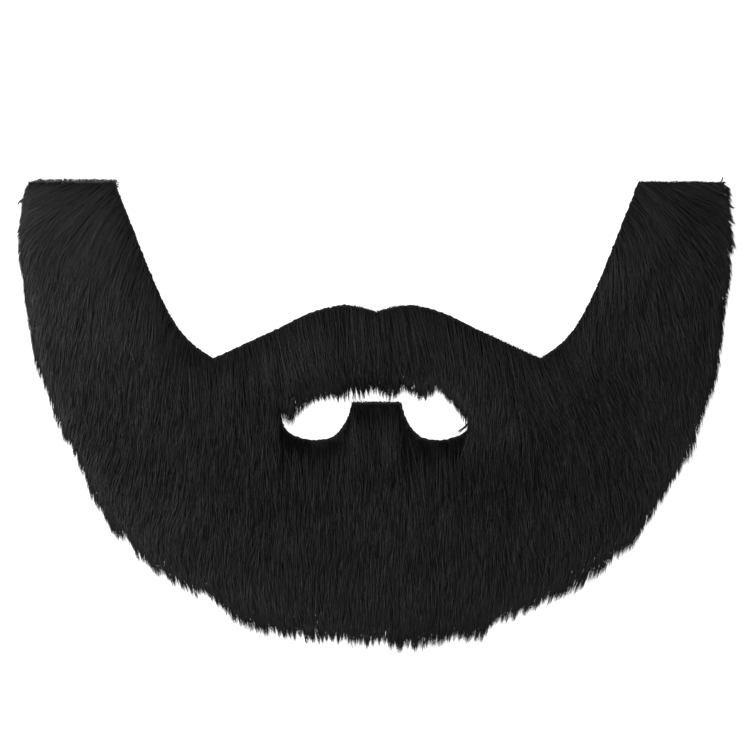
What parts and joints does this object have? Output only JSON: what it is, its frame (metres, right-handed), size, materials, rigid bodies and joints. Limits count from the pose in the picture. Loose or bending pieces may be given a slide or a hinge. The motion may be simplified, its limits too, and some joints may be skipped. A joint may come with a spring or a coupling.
{
  "type": "fake beard",
  "caption": "Full fake beard with moustache and sideburns, cut from long black plush, with a mouth opening and a flat cloth back.",
  "frame": {"origin": "middle of the outline's bounding box, on the surface that the backing lies on", "axes": "+X to the right as the beard is seen from the front, +Y from the chin to the sideburns, +Z out of the fur"},
  "size_m": [0.3286, 0.2135, 0.0121],
  "materials": {
    "backing_cloth": "matt black knitted ground cloth of the plush, with a slightly frayed cut edge",
    "black_fur": "black long-pile plush, combed down the face, with a soft sheen along the hairs"
  },
  "bodies": {
    "root": {"backing": "backing_cloth", "fur": "black_fur"}
  },
  "joints": []
}
